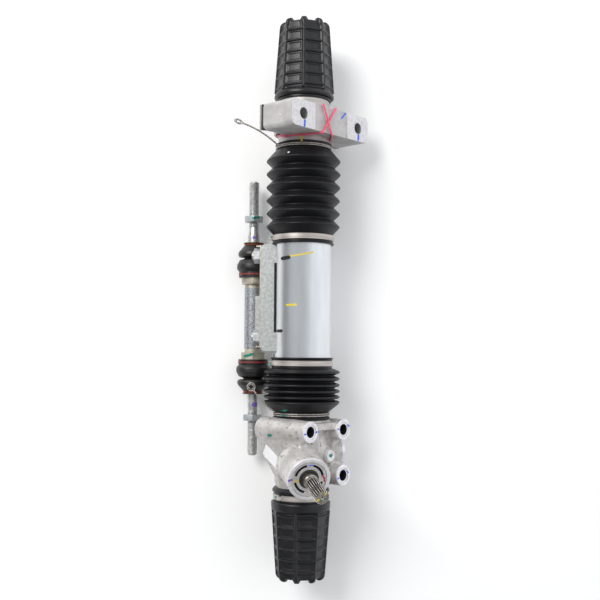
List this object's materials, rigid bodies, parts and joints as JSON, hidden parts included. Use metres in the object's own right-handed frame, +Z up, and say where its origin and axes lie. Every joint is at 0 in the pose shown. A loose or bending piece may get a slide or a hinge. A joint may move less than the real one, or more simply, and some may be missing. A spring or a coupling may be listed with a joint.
{
  "type": "steering rack",
  "caption": "Centre take-off steering rack with a pinion housing, sliding carriage between two bellows, inner tie rod ball joints, ribbed end covers and a mounting block.",
  "frame": {"origin": "middle of the underside of the whole part's box, on the table it lies on", "axes": "+Y along the rack towards the mounting block, +Z up from the table, +X away from the link tube"},
  "size_m": [0.1668, 0.6918, 0.1852],
  "materials": {
    "casting": "cast, matte",
    "machined_steel": "machined",
    "sleeve_zinc": "bright zinc",
    "channel_zinc": "mottled zinc",
    "yellow_zinc": "yellow zinc",
    "olive_zinc": "olive zinc",
    "black_plastic": "moulded",
    "natural_plastic": "moulded",
    "rubber": "matte",
    "block_alloy": "fine cast",
    "pink_band": "smooth",
    "red_rubber": "smooth",
    "orange_seal": "smooth",
    "clamp_steel": "stainless strip",
    "wire_steel": "annealed wire"
  },
  "bodies": {
    "housing": {"pinion_housing": "casting", "housing_tube": "machined_steel", "rack_bush_upper": "natural_plastic", "rack_bush_lower": "natural_plastic", "boss_bushes": "machined_steel", "housing_plug": "machined_steel", "support_yoke": "natural_plastic", "yoke_spring": "wire_steel", "yoke_plug": "machined_steel", "yoke_lock_ring": "machined_steel", "bearing_outer_race": "machined_steel", "bearing_rollers": "machined_steel", "pinion_lower_bush": "natural_plastic", "pinion_retainer": "machined_steel", "pinion_seal": "rubber", "mounting_block": "block_alloy", "block_isolator": "rubber", "block_strap": "channel_zinc", "elastic_band": "pink_band", "upper_end_cover": "black_plastic", "lower_end_cover": "black_plastic", "lower_cover_clamp": "clamp_steel", "upper_bellows": "rubber", "lower_bellows": "rubber", "upper_lock_wire": "wire_steel", "lower_lock_wire": "wire_steel"},
    "carriage": {"rack_bar": "machined_steel", "guide_shoe": "natural_plastic", "carriage_sleeve": "sleeve_zinc", "takeoff_channel": "channel_zinc", "takeoff_spacers": "machined_steel", "lock_plate": "olive_zinc", "takeoff_nuts": "yellow_zinc", "takeoff_studs": "yellow_zinc", "link_tube": "channel_zinc", "upper_joint_housing": "yellow_zinc", "lower_joint_housing": "yellow_zinc", "upper_boot": "rubber", "lower_boot": "rubber", "upper_boot_ring": "red_rubber", "lower_boot_ring": "red_rubber", "upper_bellows_clamp": "clamp_steel", "lower_bellows_clamp": "clamp_steel"},
    "pinion": {"pinion_shaft": "machined_steel", "bearing_inner_race": "machined_steel"},
    "upper_seat": {"upper_ball_seat": "natural_plastic"},
    "upper_rod": {"upper_tie_rod": "yellow_zinc", "upper_boot_collar": "orange_seal", "upper_rod_disc": "machined_steel", "upper_jam_nut": "yellow_zinc"},
    "lower_seat": {"lower_ball_seat": "natural_plastic"},
    "lower_rod": {"lower_tie_rod": "yellow_zinc", "lower_boot_collar": "orange_seal", "lower_rod_disc": "machined_steel", "lower_jam_nut": "yellow_zinc"}
  },
  "joints": [
    {"name": "rack_travel", "type": "slide", "parent": "housing", "child": "carriage", "axis": [0, 1, 0], "range_m": [-0.018, 0.062], "deforming": ["upper_bellows", "lower_bellows"]},
    {"name": "pinion_turn", "type": "hinge", "parent": "housing", "child": "pinion", "pos_m": [-0.01233, -0.1897, 0.06255], "axis": [0.2955, -0.2924, 0.9095], "range_deg": [-125, 426]},
    {"name": "upper_rod_lift", "type": "hinge", "parent": "carriage", "child": "upper_seat", "pos_m": [-0.06106, 0.0368, 0.02], "axis": [-0.1392, 0, 0.9903], "range_deg": [-8, 22], "deforming": ["upper_boot"]},
    {"name": "upper_rod_swing", "type": "hinge", "parent": "upper_seat", "child": "upper_rod", "pos_m": [-0.06106, 0.0368, 0.02], "axis": [-0.9903, 0, -0.1392], "range_deg": [-18, 18], "deforming": ["upper_boot"]},
    {"name": "lower_rod_lift", "type": "hinge", "parent": "carriage", "child": "lower_seat", "pos_m": [-0.06106, -0.081, 0.02], "axis": [0.1392, 0, -0.9903], "range_deg": [-8, 22], "deforming": ["lower_boot"]},
    {"name": "lower_rod_swing", "type": "hinge", "parent": "lower_seat", "child": "lower_rod", "pos_m": [-0.06106, -0.081, 0.02], "axis": [0.9903, 0, 0.1392], "range_deg": [-18, 18], "deforming": ["lower_boot"]}
  ],
  "couplings": [
    {"joint": "pinion_turn", "follows": "rack_travel", "rad_per_m": 119.54}
  ]
}
